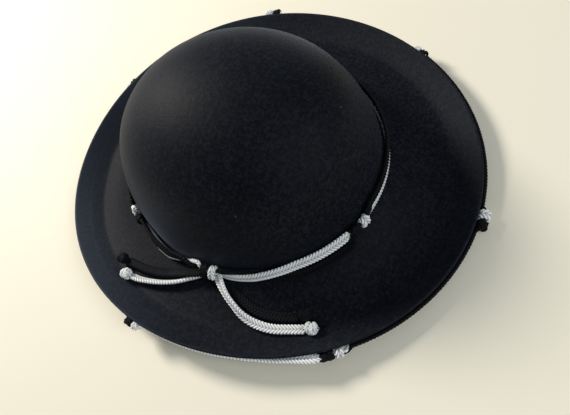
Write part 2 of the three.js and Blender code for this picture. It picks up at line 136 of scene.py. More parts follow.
# Rows of the crown braids' routes: angle, out from the crown's foot, up from it, lean of the flat side and
# half width.
CROWN_ROUTES = {
    "white": [
        (0, 2.5, 4.6, 90, 2.9), (136, 2.5, 4.6, 90, 2.9), (147, 3.2, 2.4, 150, 1.4),
        (155.5, 3.2, 2.3, 155, 1.5), (160, 4.3, 2.2, 172, 2.0), (164, 5.0, 2.2, 172, 2.4),
        (170, 5.0, 2.2, 172, 2.4), (175, 3.2, 2.8, 140, 1.6), (179, 2.8, 3.4, 120, 1.4),
        (182, 2.0, 8.2, 90, 1.0), (185.5, 2.2, 10.4, 90, 1.5), (194, 4.4, 2.6, 120, 1.4),
        (198, 5.6, 3.2, 116, 1.8), (203, 6.2, 4.2, 110, 2.6), (208, 6.3, 4.6, 108, 3.1),
        (216, 5.6, 6.0, 116, 3.0), (225, 3.9, 5.6, 122, 3.2), (248, 3.7, 5.2, 122, 3.2),
        (263, 2.5, 4.6, 90, 2.9),
    ],
    "black": [
        (0, 3.1, 11.0, 90, 3.2), (136, 2.6, 11.4, 90, 3.2), (149, 3.0, 8.0, 92, 3.2),
        (154, 3.2, 7.8, 98, 3.1), (160, 4.4, 7.2, 116, 3.1), (170, 4.8, 7.1, 122, 3.2),
        (176, 3.4, 8.4, 102, 3.1), (179, 3.6, 8.0, 102, 3.1), (183, 5.4, 4.6, 112, 3.0),
        (186, 3.6, 3.6, 120, 3.0), (194, 4.0, 7.4, 100, 3.2), (200, 3.0, 6.4, 94, 3.2),
        (208, 2.2, 5.2, 90, 3.2), (213, 3.2, 3.0, 145, 2.4), (218, 6.2, 2.1, 174, 2.6),
        (225, 9.8, 2.2, 178, 3.2), (246, 9.8, 2.2, 178, 3.2), (263, 3.1, 11.0, 90, 3.2),
    ],
}

# Rows of the rim braids' routes on the underside of the rim: angle, in from the felt's edge, off the felt,
# turn of the flat side from lying along the felt, and half width.
RIM_ROUTES = {
    "white": [
        (0, 3.0, 1.75, 0, 2.6), (200, 3.2, 1.75, 0, 2.6), (207, 2.6, 1.75, 0, 2.6),
        (214, 1.4, 2.0, -8, 2.7), (220, -0.5, 2.6, -18, 2.8), (224, -0.5, 2.6, -18, 2.8),
        (225, 7.8, 1.9, 0, 1.7), (235, 7.6, 1.9, 0, 2.3), (285, 7.6, 1.9, 0, 2.3),
        (305, 7.6, 2.2, 0, 2.3), (320, 7.6, 2.2, 0, 2.3), (330.5, 7.8, 2.2, 0, 1.6),
        (331.5, 3.0, 1.75, 0, 2.6),
    ],
    "black": [
        (0, 8.7, 1.75, 0, 2.6), (224, 8.7, 1.75, 0, 2.6), (225, 1.6, 1.75, 0, 2.6),
        (330.5, 1.6, 1.75, 0, 2.6), (331.5, 8.7, 1.75, 0, 2.6),
    ],
}

# The loose ends from the tie outwards, in millimetres, and how far the flat side is turned about the way it
# runs, from start to end.
LOOSE_ENDS = {
    "white_right": {
        "route": [
            (-87.5, -23.5, 17.5), (-90.3, -27.4, 19.2), (-93.8, -32, 18.9), (-97.4, -37.6, 18.2),
            (-100, -43, 16.9), (-102.6, -49, 14.4), (-103.9, -56, 12), (-103.6, -64, 11),
            (-101.8, -72, 10.2), (-97.8, -81.1, 9.4), (-93.6, -90, 8.6),
        ],
        "turns": [10, 30, 52, 58, 48, 28, 10, 0, 0],
    },
    "black_right": {
        "route": [
            (-88.4, -21, 16.4), (-90.6, -25.2, 15.4), (-92, -32, 15), (-93.3, -40, 14.2), (-95.2, -48, 13.3),
            (-96.6, -56, 12.3), (-95.8, -65, 11.3), (-92.6, -75, 10.3), (-88.1, -83.2, 9.4),
        ],
        "turns": [0, 0, 0, 0],
    },
    "white_left": {
        "route": [
            (-89.4, -14.4, 16.8), (-92.6, -10.4, 15.4), (-97, -4.2, 15.2), (-101.5, 2.4, 14.9),
            (-105, 9.4, 14.6), (-107.8, 17, 14.2), (-110, 25, 13.9), (-111.4, 32, 13.5),
            (-111.7, 39.2, 13.1),
        ],
        "turns": [60, 64, 64, 58, 46],
    },
    "black_left": {
        "route": [
            (-89, -14.4, 19.8), (-91.6, -10.4, 19.6), (-94.2, -3.6, 19.4), (-96.4, 3.4, 17.8),
            (-98.4, 10.4, 15.4), (-101, 18, 14.5), (-102.6, 27, 14), (-103.4, 37, 13.5),
            (-103.3, 49, 12.8),
        ],
        "turns": [0, 0, 0, 0],
    },
}

# The knot at the end of a loose braid: its half sizes, how far it overlaps the braid's end and reaches below
# the braid's middle, and how much shorter and lower than the turns the bundle inside it is.
END_KNOT = {"along": 5.0, "across": 3.9, "up": 3.5, "overlap": 1.4, "below": 1.6,
            "core_shorter": 1.0, "core_lower": 0.1}

# The two turns of an end knot: the half sizes of their braid, how far in its middle lies, and the slant of
# each with how much wider it is made, so that one passes over the other.
END_TURN = {"half_width": 2.2, "half_thickness": 1.2, "inset": 1.25, "slants": ((33, 1.0), (-33, 1.1))}

# A loose end's curve has this many steps between two points of its route, and every fourth step is put in a
# list of points along the cord.
CURVE_STEPS = 12
PATH_STEP = 4

# The camera's place and heading, fitted to the outlines of the brim and crown.
CAMERA = {"distance": 0.3483, "elevation": 58.19, "azimuth": 33.81, "roll": -32.29,
          "target": (-0.0225, -0.0310, 0.0), "focal_share": 495.469 / 570}
SENSOR = 36.0

# The side of the square floor and its height, a hair below the hat, so that the two never share a face.
FLOOR_SIZE = 6
FLOOR_HEIGHT = -0.0003

# The two round lights, each with its place, size and colour, the point that both are turned to, and the
# colour of the light from all round.
WINDOW = {"name": "window", "place": (0.13, 1.07, 0.80), "size": 0.36, "colour": (1.0, 0.96, 0.9)}
SECOND_WINDOW = {
    "name": "second_window", "place": (0.0, -1.1, 0.85), "size": 0.7, "colour": (0.88, 0.94, 1.0)}
LIGHT_TARGET = (0, 0, 0.03)
ROOM_COLOUR = (0.86, 0.94, 1.0)

# Colours of the felt's painted sheen, of lint flecks and of the painted shade in the yarn's grooves.
PAINTED_SHEEN_FELT = (0.050, 0.060, 0.078)
LINT = (0.25, 0.25, 0.26)
WHITE_SHADE = (0.07, 0.075, 0.085)
BLACK_SHADE = (0.0015, 0.0017, 0.0024)


def sin_of(degrees):
    return math.sin(math.radians(degrees))


def cos_of(degrees):
    return math.cos(math.radians(degrees))


class HatSizes(bpy.types.PropertyGroup):
    """The felt's sizes."""

    felt_thickness: FloatProperty(
        name="Felt thickness", description="Thickness of the felt", default=0.002, unit="LENGTH")
    crown_half_width: FloatProperty(
        name="Crown half width", description="Half the crown's outside width at its foot",
        default=0.084, unit="LENGTH")
    crown_half_length: FloatProperty(
        name="Crown half length", description="Half the crown's outside length at its foot",
        default=0.0955, unit="LENGTH")
    crown_top: FloatProperty(
        name="Crown top", description="Height of the crown above the table", default=0.104,
        unit="LENGTH")
    brim_half_width: FloatProperty(
        name="Brim half width", description="Half the brim's width at its edge", default=0.1365,
        unit="LENGTH")
    brim_half_length: FloatProperty(
        name="Brim half length", description="Half the brim's length at its edge", default=0.1545,
        unit="LENGTH")
    rim_run: FloatProperty(
        name="Turned-up rim", description="How far in from the edge the brim turns up", default=0.018,
        unit="LENGTH")
    # Width of the band along the felt's edge that painted sheen makes paler.
    painted_sheen_band: FloatProperty(
        name="Pressed band", description="Width of the smoother band along the felt's edge", default=0.0088,
        unit="LENGTH")
    felt_colour: FloatVectorProperty(
        name="Felt colour", description="Colour of the felt's darker fibres", subtype="COLOR", size=3,
        min=0, max=1, default=(0.0018, 0.0025, 0.0049))


class BraidSizes(bpy.types.PropertyGroup):
    """The braids' sizes and colours."""

    pitch: FloatProperty(
        name="Stitch pitch", description="Length of one stitch along the braid", default=0.00215,
        unit="LENGTH")
    groove: FloatProperty(
        name="Groove depth", description="Depth between stitches, as a share of the braid's half thickness",
        default=0.56, subtype="FACTOR")
    crown_half_thickness: FloatProperty(
        name="Crown braid half thickness", description="Half the thickness of the crown braids",
        default=0.0015, unit="LENGTH")
    rim_half_thickness: FloatProperty(
        name="Rim braid half thickness", description="Half the thickness of the rim braids",
        default=0.0014, unit="LENGTH")
    loose_half_width: FloatProperty(
        name="Loose end half width", description="Half the width of the loose ends", default=0.003,
        unit="LENGTH")
    white: FloatVectorProperty(
        name="White braid", description="Colour of the white yarn", subtype="COLOR", size=3, min=0, max=1,
        default=(0.95, 0.95, 0.93))
    black: FloatVectorProperty(
        name="Black braid", description="Colour of the black yarn", subtype="COLOR", size=3, min=0, max=1,
        default=(0.0036, 0.0041, 0.0056))


class StageLook(bpy.types.PropertyGroup):
    """The floor and the lights."""

    floor_colour: FloatVectorProperty(
        name="Floor", description="Colour of the floor", subtype="COLOR", size=3, min=0, max=1,
        default=(0.86, 0.80, 0.65))
    window_power: FloatProperty(
        name="Window light", description="Power of the stronger light", default=19, unit="POWER")
    second_power: FloatProperty(
        name="Second light", description="Power of the weaker light from the other side", default=8,
        unit="POWER")
    fill: FloatProperty(
        name="Fill", description="Strength of the light from all round", default=0.25)


class Form:
    """The hat's shape, in millimetres."""

    crown_foot = 13.2
    crown_wall_start = 19.4
    crown_roundness = 2.1
    crown_draw_in = 0.012
    tip_forward = 3.5
    foot_fillet = 5
    fillet_turn = 78
    brim_forward = 2
    backward_tilt = 0.0155
    rest_strip_width = 4
    rim_flare = 1.35
    dent = {"x": -16, "y": -62, "radius": 16, "depth": 1.5}

    def __init__(self, sizes):
        self.thickness = sizes.felt_thickness / MM
        self.crown_half_width = sizes.crown_half_width / MM
        self.crown_half_length = sizes.crown_half_length / MM
        self.crown_top = sizes.crown_top / MM
        self.brim_half_width = sizes.brim_half_width / MM
        self.brim_half_length = sizes.brim_half_length / MM
        self.rim_run = sizes.rim_run / MM

    def edge_height(self, angle):
        """Height of the felt's edge above the table: the sides lift and the front dips."""
        tilt = 2.5 * cos_of(angle - 100)
        saddle = 4.1 * cos_of(2 * (angle - 3))
        wave = 1.3 * cos_of(3 * (angle - 55))
        return 16.2 + tilt + saddle + wave

    def rim_height(self, angle):
        turned_up = 10.9 + 1.6 * sin_of(angle) + 0.2 * cos_of(2 * angle)
        return min(turned_up, self.edge_height(angle) - self.thickness)

    def crown_plan(self, angle):
        return Vector((self.crown_half_width * cos_of(angle), self.crown_half_length * sin_of(angle)))

    def edge_plan(self, angle):
        return Vector((self.brim_half_width * cos_of(angle),
                       self.brim_half_length * sin_of(angle) - self.brim_forward))

    def foot_height(self, y):
        return self.crown_foot - self.backward_tilt * y

    def dome_point(self, angle, rise):
        """A point of the crown, for a rise from 0 at its foot to 1 at its top."""
        oval = max(0.0, 1 - rise ** self.crown_roundness) ** (1 / self.crown_roundness)
        drawn = max(0.0, oval - self.crown_draw_in * math.sin(math.pi * min(1, 1.6 * rise)))
        plan = self.crown_plan(angle)
        start = self.crown_wall_start - self.backward_tilt * plan.y
        x, y = plan.x * drawn, plan.y * drawn - self.tip_forward * rise
        z = start + rise * (self.crown_top - start)
        away = math.hypot(x - self.dent["x"], y - self.dent["y"]) / self.dent["radius"]
        return Vector((x, y, z - self.dent["depth"] * math.exp(-away * away) * rise))

    def brim_profile(self, angle, fillet_steps, brim_steps, rim_steps):
        """The brim's upper side along one line from the crown outwards, as (distance, height)."""
        run = (self.edge_plan(angle) - self.crown_plan(angle)).length
        foot = self.foot_height(self.crown_plan(angle).y)
        valley = self.edge_height(angle) - self.rim_height(angle)
        strip_start = run - self.rim_run - self.rest_strip_width
        fillet = self.foot_fillet
        profile = []
        for step in range(fillet_steps):
            turn = self.fillet_turn * step / fillet_steps
            profile.append((fillet * (1 - cos_of(turn)), foot + fillet * (1 - sin_of(turn))))
        for step in range(brim_steps):
            share = step / (brim_steps - 1)
            along = fillet + share * (strip_start - fillet)
            profile.append((along, foot + (valley - foot) * (1.5 * share - 0.5 * share ** 3)))
        for step in range(rim_steps + 1):
            share = step / rim_steps
            height = valley + self.rim_height(angle) * share ** self.rim_flare
            profile.append((run - self.rim_run * (1 - share), height))
        return profile

    def under_rim(self, angle, inward, off, turn, half):
        """Where a braid under the rim has its middle, out and up from the felt's edge, and how it leans."""
        share = 1 - inward / self.rim_run
        height = self.rim_height(angle)
        slope = math.atan(self.rim_flare * height * share ** (self.rim_flare - 1) / self.rim_run)
        away = self.thickness + off
        out = away * math.sin(slope) - inward
        up = height * (share ** self.rim_flare - 1) - away * math.cos(slope)
        return angle, out, up, math.degrees(slope) + turn, half

    def brim_point(self, angle, along, height):
        start = self.crown_plan(angle)
        outward = (self.edge_plan(angle) - start).normalized()
        return Vector((start.x + outward.x * along, start.y + outward.y * along, height))

    def crown_line(self, angle):
        """The crown's foot at this angle and the way square to it."""
        plan = self.crown_plan(angle)
        outward = Vector((self.crown_half_length * cos_of(angle), self.crown_half_width * sin_of(angle), 0))
        return Vector((plan.x, plan.y, self.foot_height(plan.y))), outward.normalized()

    def rim_line(self, angle):
        """The felt's edge at this angle and the way square to it."""
        plan = self.edge_plan(angle)
        outward = Vector((self.brim_half_length * cos_of(angle), self.brim_half_width * sin_of(angle), 0))
        return Vector((plan.x, plan.y, self.edge_height(angle))), outward.normalized()


def to_metres(points):
    """Millimetres round the crown's axis as metres in the part's frame."""
    return (np.asarray(points, float) + CROWN_AXIS) * MM


# Shader trees written as expressions.

class Wire:
    """A socket that takes part in Python expressions, each of which adds its Math node."""

    def __init__(self, finish, socket):
        self.finish = finish
        self.socket = socket

    def math(self, operation, first, second):
        return self.finish.node("ShaderNodeMath", {"operation": operation}, {0: first, 1: second})

    def __add__(self, other):
        return self.math("ADD", self, other)

    def __radd__(self, other):
        return self.math("ADD", other, self)

    def __sub__(self, other):
        return self.math("SUBTRACT", self, other)

    def __rsub__(self, other):
        return self.math("SUBTRACT", other, self)

    def __mul__(self, other):
        return self.math("MULTIPLY", self, other)

    def __rmul__(self, other):
        return self.math("MULTIPLY", other, self)

    def __pow__(self, other):
        return self.math("POWER", self, other)

    def above(self, limit):
        return self.math("GREATER_THAN", self, limit)


class Finish:
    """One material and its tree."""

    def __init__(self, name):
        self.material = bpy.data.materials.new(name)
        self.material.use_nodes = True
        self.tree = self.material.node_tree
        self.shader = self.tree.nodes["Principled BSDF"]

    def node(self, kind, settings=None, sockets=None, output=0):
        """Adds a node: its settings come first, then the value or link of each named socket."""
        made = self.tree.nodes.new(kind)
        for key, value in (settings or {}).items():
            setattr(made, key, value)
        for key, value in (sockets or {}).items():
            self.plug(made.inputs[key], value)
        return Wire(self, made.outputs[output])

    def plug(self, socket, value):
        if isinstance(value, Wire):
            self.tree.links.new(value.socket, socket)
        elif socket.type == "RGBA" and len(value) == 3:
            socket.default_value = (*value, 1)
        else:
            socket.default_value = value

    def surface(self, **values):
        """Sets the shader's own sockets, named with _ for a space."""
        for key, value in values.items():
            self.plug(self.shader.inputs[key.replace("_", " ")], value)

    def mix_colours(self, share, first, second):
        return self.node("ShaderNodeMix", {"data_type": "RGBA"}, {0: share, 6: first, 7: second}, output=2)

    def coordinates(self, kind="Object"):
        return self.node("ShaderNodeTexCoord", output=kind)

    def stretched(self, source, scale, turn=(0, 0, 0)):
        return self.node("ShaderNodeMapping", None, {"Vector": source, "Rotation": turn, "Scale": scale})

    def noise(self, source, scale, detail=2.0, roughness=0.5, distortion=0.0):
        return self.node("ShaderNodeTexNoise", None, {
            "Vector": source, "Scale": scale, "Detail": detail, "Roughness": roughness,
            "Distortion": distortion})

    def eased(self, value, start, end):
        """A value brought to 0 at the start and 1 at the end, with a soft change between them."""
        return self.node("ShaderNodeMapRange", {"interpolation_type": "SMOOTHSTEP"}, {
            "Value": value, "From Min": start, "From Max": end})

    def bump(self, height, strength, distance):
        return self.node("ShaderNodeBump", None, {
            "Height": height, "Strength": strength, "Distance": distance})


def felt_finish(sizes):
    """Matt wool felt: a fine mottled nap, a paler band of painted sheen along the edge and a few pale flecks.
    """
    finish = Finish("wool_felt")
    place = finish.coordinates()
    nap = finish.noise(place, 1300, 3, 0.65)
    fibres = finish.noise(finish.stretched(place, (1.0, 0.22, 0.4), (0.4, 0.9, 0.3)), 900, 2, 0.6, 0.8)
    crossed = finish.noise(finish.stretched(place, (0.24, 1.0, 0.45), (0.2, -0.7, 1.1)), 820, 2, 0.6, 0.8)
    mottle = finish.noise(place, 420, 2, 0.6)
    clouds = finish.noise(place, 26, 4, 0.6)
    lay = 0.3 * nap + 0.2 * fibres + 0.2 * crossed + 0.3 * mottle
    pale = finish.eased(lay, 0.44, 0.6)
    share = pale * (0.3 + 1.0 * clouds)
    dark = tuple(sizes.felt_colour)
    light = tuple(0.0075 + 2.4 * channel for channel in dark)
    colour = finish.mix_colours(share, dark, light)
    # Painted sheen: the felt is painted paler along its edge, most on the side towards the window light.
    painted_light_mottle = painted_sheen_share(finish, place, sizes) * (0.75 + 0.5 * mottle)
    colour = finish.mix_colours(painted_light_mottle, colour, PAINTED_SHEEN_FELT)
    cells = {"Vector": place, "Scale": 150.0, "Randomness": 1.0}
    specks = finish.node("ShaderNodeTexVoronoi", None, cells)
    chosen = finish.node("ShaderNodeTexVoronoi", None, cells, output="Color")
    luck = finish.node("ShaderNodeSeparateColor", None, {"Color": chosen})
    fleck = (1 - specks.above(0.05)) * luck.above(0.9)
    colour = finish.mix_colours(0.7 * fleck, colour, LINT)
    finish.surface(
        Base_Color=colour, Roughness=0.5 + 0.14 * nap,
        Normal=finish.bump(lay + 0.35 * clouds, 0.6, 0.0006))
    finish.surface(Specular_IOR_Level=0.07, Sheen_Weight=0.11, Sheen_Roughness=0.36,
                   Sheen_Tint=(0.52, 0.61, 0.8))
    return finish.material


def painted_sheen_share(finish, place, sizes):
    """Share of painted sheen on the felt: most at its edge on the window's side, with a faint line where the
    band ends.
    """
    inward = finish.node("ShaderNodeAttribute", {"attribute_name": "inward"}, output="Fac")
    band = sizes.painted_sheen_band / MM
    spread = 1 - finish.eased(inward, -0.2 * band, 2.9 * band)
    line = finish.eased(inward, band - 0.9, band) * (1 - finish.eased(inward, band, band + 0.6))
    x = finish.node("ShaderNodeSeparateXYZ", None, {"Vector": place})
    y = finish.node("ShaderNodeSeparateXYZ", None, {"Vector": place}, output=1)
    # The painted sheen is strongest on the side towards the window light.
    facing = finish.eased(0.85 * y - 0.2 * x, 0.0, 0.13)
    return (0.85 * spread + 0.15 * line) * (0.1 + 0.9 * facing)


def braid_finish(name, colour, shadow, gloss, sheen):
    """Braided yarn: fine filaments along each stitch, with painted shade darkening the grooves."""
    finish = Finish(name)
    run = finish.node("ShaderNodeUVMap", {"uv_map": "braid"})
    split = finish.node("ShaderNodeSeparateXYZ", None, {"Vector": run})
    filaments = finish.node("ShaderNodeMath", {"operation": "SINE"}, {0: split * (2 * math.pi * 7)})
    grain = finish.noise(finish.coordinates(), 2300, 2, 0.5)
    groove = finish.node("ShaderNodeAttribute", {"attribute_name": "groove"}, output="Fac")
    painted_light_mottle = finish.noise(finish.coordinates(), 60, 3, 0.6)
    # Painted shade: the yarn is painted darker in the grooves between its stitches, unevenly.
    shade = groove ** 1.8 * (0.65 + 0.4 * painted_light_mottle)
    tint = finish.mix_colours(shade, tuple(colour), tuple(shadow))
    finish.surface(
        Base_Color=tint, Roughness=0.5 + 0.2 * grain,
        Normal=finish.bump(0.5 * filaments + grain, 0.35, 0.00018))
    finish.surface(Specular_IOR_Level=gloss, Sheen_Weight=sheen, Sheen_Roughness=0.4)
    return finish.material


# Meshes.

def deselect_all():
    if bpy.context.object and bpy.context.object.mode != "OBJECT":
        bpy.ops.object.mode_set(mode="OBJECT")
    bpy.ops.object.select_all(action="DESELECT")


def mesh_piece(name, points, faces, material):
    """A new smooth object at the origin with this mesh."""
    mesh = bpy.data.meshes.new(name)
    mesh.from_pydata([tuple(point) for point in points], [], faces)
    mesh.materials.append(material)
    mesh.polygons.foreach_set("use_smooth", [True] * len(mesh.polygons))
    mesh.update()
    piece = bpy.data.objects.new(name, mesh)
    bpy.context.scene.collection.objects.link(piece)
    return piece


def finished(piece, slot, *nodes):
    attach(piece, "root")
    if nodes:
        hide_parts(*nodes)
    return piece


# A braid's section is a ring of this many points. The chevron is how far a stitch's middle runs ahead of its
# ends, in millimetres, and the notch is how much narrower the braid is between two stitches, as a share.
SECTION_STEPS = 16
RINGS_PER_STITCH = 6
CHEVRON = 2.7
NOTCH = 0.2


class Rail:
    """A braid's centre line in small even steps, with the way across its flat side and its half sizes.

    points is 1 or -1, the way that the stitches point, and roundness shapes the section: less is flatter.
    """

    look_ahead = 0.4

    def __init__(self, places, across, half_width, half_thickness, closed, points=1, roundness=0.62):
        half_width = np.broadcast_to(half_width, len(places))
        half_thickness = np.broadcast_to(half_thickness, len(places))
        if closed:
            places, across, half_width, half_thickness = (
                np.concatenate([rows, rows[:1]]) for rows in (places, across, half_width, half_thickness))
        self.closed = closed
        self.points = points
        self.roundness = roundness
        self.places = places
        self.across = across
        self.half_width = half_width
        self.half_thickness = half_thickness
        steps = np.linalg.norm(np.diff(places, axis=0), axis=1)
        self.reach = np.append(0, np.cumsum(steps))
        self.length = self.reach[-1]

    def at(self, runs):
        """Centre, across, face, half width and half thickness at each length run along the rail."""
        runs = np.mod(runs, self.length) if self.closed else runs
        inside = np.clip(runs, 0, self.length)
        if self.closed:
            ahead = np.mod(inside + self.look_ahead, self.length)
            behind = np.mod(inside - self.look_ahead, self.length)
        else:
            ahead = np.clip(inside + self.look_ahead, 0, self.length)
            behind = np.clip(inside - self.look_ahead, 0, self.length)
        tangent = self.read(self.places, ahead) - self.read(self.places, behind)
        tangent /= np.linalg.norm(tangent, axis=-1, keepdims=True)
        across = self.read(self.across, inside)
        across -= tangent * np.sum(across * tangent, axis=-1, keepdims=True)
        across /= np.linalg.norm(across, axis=-1, keepdims=True)
        face = np.cross(tangent, across)
        place = self.read(self.places, inside) + tangent * (runs - inside)[..., None]
        width = np.interp(inside, self.reach, self.half_width)
        thickness = np.interp(inside, self.reach, self.half_thickness)
        return place, across, face, width, thickness

    def read(self, rows, runs):
        return np.stack([np.interp(runs, self.reach, column) for column in rows.T], -1)


def braid_mesh(rail, sizes):
    """Points, faces, groove depths and run of a flat braid: two columns of slanted stitches on each face."""
    pitch = sizes.pitch / MM
    stitches = max(2, round(rail.length / pitch))
    rings = stitches * RINGS_PER_STITCH + (0 if rail.closed else 1)
    phase = np.arange(rings)[:, None] / RINGS_PER_STITCH
    turn = 2 * np.pi * np.arange(SECTION_STEPS)[None, :] / SECTION_STEPS
    wide = np.sign(np.sin(turn)) * np.abs(np.sin(turn)) ** 0.85
    thick = np.sign(np.cos(turn)) * np.abs(np.cos(turn)) ** rail.roundness
    run = phase * rail.length / stitches + rail.points * CHEVRON * (0.5 - np.abs(wide))
    place, across, face, half_width, half_thickness = rail.at(run)
    stitch = np.abs(np.sin(np.pi * phase)) ** 0.6
    groove = (1 - stitch) * np.ones_like(turn)

    # The line between the two columns of stitches is a groove too.
    middle = np.isclose(np.abs(wide), 0, atol=1e-6)
    depth = sizes.groove * np.where(middle, 0.75 + 0.25 * groove, groove)
    width_now = half_width * (1 - NOTCH * groove)
    points = place + across * (wide * width_now)[..., None]
    points = points + face * (thick * half_thickness * (1 - depth))[..., None]
    count = rings if rail.closed else rings - 1
    faces = []
    for ring in range(count):
        first, second = ring * SECTION_STEPS, ((ring + 1) % rings) * SECTION_STEPS
        for step in range(SECTION_STEPS):
            other = (step + 1) % SECTION_STEPS
            faces.append((first + step, first + other, second + other, second + step))
    if not rail.closed:
        faces.append(tuple(reversed(range(SECTION_STEPS))))
        faces.append(tuple(range((rings - 1) * SECTION_STEPS, rings * SECTION_STEPS)))
    # These groove values are also read by the yarn's finish, which paints shade with them.
    grooves = np.where(middle, 0.7 + 0.3 * groove, groove)
    phases = phase * np.ones_like(turn)
    shares = np.ones_like(phase) * np.arange(SECTION_STEPS)[None, :] / SECTION_STEPS
    return points.reshape(-1, 3), faces, grooves.ravel(), phases.ravel(), shares.ravel()


def braid_piece(name, rails, sizes, material):
    """One object made of the braids along these rails."""
    points, faces, grooves, phases, shares = [], [], [], [], []
    for rail in rails:
        start = sum(len(part) for part in points)
        rows, skins, depth, phase, share = braid_mesh(rail, sizes)
        points.append(rows)
        faces += [tuple(start + corner for corner in skin) for skin in skins]
        grooves.append(depth)
        phases.append(phase)
        shares.append(share)
    piece = mesh_piece(name, to_metres(np.vstack(points)), faces, material)
    mesh = piece.data
    mesh.attributes.new("groove", "FLOAT", "POINT").data.foreach_set(
        "value", np.concatenate(grooves).astype(np.float32))
    corners = np.zeros(len(mesh.loops), np.int64)
    mesh.loops.foreach_get("vertex_index", corners)
    runs = np.stack([np.concatenate(phases)[corners], np.concatenate(shares)[corners]], -1)
    mesh.uv_layers.new(name="braid").data.foreach_set("uv", runs.ravel().astype(np.float32))
    return piece


def away_from(knot, angle):
    """Degrees from a knot to an angle, the shorter way round."""
    return abs((angle - knot["angle"] + 180) % 360 - 180)


def millimetres_per_degree(line, angle):
    return (line(angle + 0.5)[0] - line(angle - 0.5)[0]).length


def wrap_of(knot, wrap, colour=None):
    """The sizes of a knot's turns: its own where it has them, or its own for the turn of one colour."""
    return {**(BOW_WRAP if knot.get("bow") else wrap), **knot, **knot.get(colour, {})}


def route_rows(line, band, rows, colour, half_thickness):
    """A braid's rows, now with its half thickness, and those of its knots, where it is a thin strand."""
    read = read_rows(rows)
    kept = [(*row, half_thickness) for row in rows]
    strand = band["strand"]
    for knot in band["knots"]:
        size = wrap_of(knot, band["wrap"])
        reach = (2 * size["along"] + GAP) / millimetres_per_degree(line, knot["angle"])
        kept = [row for row in kept if away_from(knot, row[0]) > KNOT_CLEARED * reach]
        rise = strand["rise"] * knot["white_up"] * (1 if colour == "white" else -1)
        tilt = knot.get("tilt", 0)
        for share in (-KNOT_ENTRY, KNOT_ENTRY):
            angle = (knot["angle"] + share * reach) % 360
            kept.append((angle, *read(angle), half_thickness))
        for share in (-KNOT_INSIDE, KNOT_INSIDE):
            angle = (knot["angle"] + share * reach) % 360
            out = size["middle_out"] - rise * sin_of(tilt)
            up = size["middle_up"] + rise * cos_of(tilt)
            kept.append((angle, out, up, read(angle)[2], strand["half_width"], strand["half_thickness"]))
    return sorted(kept)


def read_rows(rows):
    """A function that reads rows at any angle, going straight from one to the next all the way round."""
    rows = sorted(rows)
    angles = np.array([rows[-1][0] - 360] + [row[0] for row in rows] + [rows[0][0] + 360])
    table = np.array([rows[-1][1:]] + [row[1:] for row in rows] + [rows[0][1:]])
    return lambda angle: tuple(np.interp(angle, angles, column) for column in table.T)


def smoothed(values, steps):
    """Even smoothing of a closed series."""
    window = np.hanning(2 * steps + 1)
    window /= window.sum()
    padded = np.concatenate([values[-steps:], values, values[:steps]])
    return np.convolve(padded, window, mode="valid")


def ring_rail(line, rows, ease):
    """The rail of a braid that goes all the way round the hat."""
    read = read_rows(rows)
    angles = np.arange(0, 360, 0.25)
    table = np.array([read(angle) for angle in angles])
    columns = [smoothed(column, ease) for column in table.T]
    places, across = [], []
    for angle, out, up, lean in zip(angles, *columns[:3]):
        foot, outward = line(angle)
        places.append(foot + outward * out + Vector((0, 0, up)))
        across.append(outward * cos_of(lean) + Vector((0, 0, sin_of(lean))))
    return Rail(np.array(places), np.array(across), columns[3], columns[4], closed=True, points=-1)


def wrap_rail(centre, side, upward, along, half_axes, half_width, half_thickness, tilt):
    """A closed turn of braid round a pair of strands: side and upward span its plane, tilt slants it."""
    places, across = [], []
    slant = math.tan(math.radians(tilt))
    for step in range(WRAP_STEPS):
        turn = 360 * step / WRAP_STEPS
        offset = side * (half_axes[0] * cos_of(turn)) + upward * (half_axes[1] * sin_of(turn))
        places.append(centre + offset + along * (half_axes[1] * sin_of(turn) * slant))
        across.append((along - upward * (slant * cos_of(turn) * SLANT_FOLLOWED)).normalized())
    return Rail(np.array(places), np.array([list(way) for way in across]),
                half_width, half_thickness, closed=True, roundness=1.1)


def wrap_core(centre, side, upward, along, half_axes, reach):
    """The bundle inside a turn of braid, which shows at both of its open sides."""
    steps = np.linspace(-1, 1, CORE_STEPS)
    places = np.array([centre + along * (step * reach) for step in steps])
    swell = np.sqrt(np.maximum(0.05, 1 - steps ** 2 * 0.95))
    across = np.tile(np.array(upward), (CORE_STEPS, 1))
    return Rail(places, across, half_axes[1] * swell, half_axes[0] * swell, closed=False)


def knot_rails(line, band, colour):
    """The turns of one colour, one at each knot, each with the bundle inside it."""
    rails = []
    half_thickness = band["wrap_half_thickness"]
    for number, knot in enumerate(band["knots"]):
        size = wrap_of(knot, band["wrap"], colour)
        side = knot["white_side"] * (1 if colour == "white" else -1)
        shift = side * (size["along"] + 0.5 * GAP) / millimetres_per_degree(line, knot["angle"])
        foot, outward = line(knot["angle"] + shift)
        forward = Vector((-outward.y, outward.x, 0))
        centre = foot + outward * size["middle_out"] + Vector((0, 0, size["middle_up"]))
        axes = (size["out"] - half_thickness, size["up"] - half_thickness)
        tilt = size.get("slant", WRAP_SLANT + SLANT_SPREAD * math.sin(number * SLANT_STEP))
        upright = Vector((0, 0, 1))
        across = size.get("half_width", size["along"])
        rails.append(wrap_rail(centre, outward, upright, forward, axes, across, half_thickness, tilt))
        inner = (axes[0] - CORE_INSET, axes[1] - CORE_INSET)
        rails.append(wrap_core(centre, outward, upright, forward, inner, size["along"] - CORE_SHORTER))
    return rails


def lay_braids(place, band, line, routes, half_thickness, sizes):
    """Lays the white and the black braid along a line of the hat, each with its own half of every knot."""
    for colour, rows in routes.items():
        rows = route_rows(line, band, rows, colour, half_thickness)
        rails = [ring_rail(line, rows, band["ease"]), *knot_rails(line, band, colour)]
        piece = braid_piece(f"{place}_braid_{colour}", rails, sizes, bpy.data.materials[f"{colour}_yarn"])
        finished(piece, f"{colour}_braid", f"{place}_cord_{colour}")


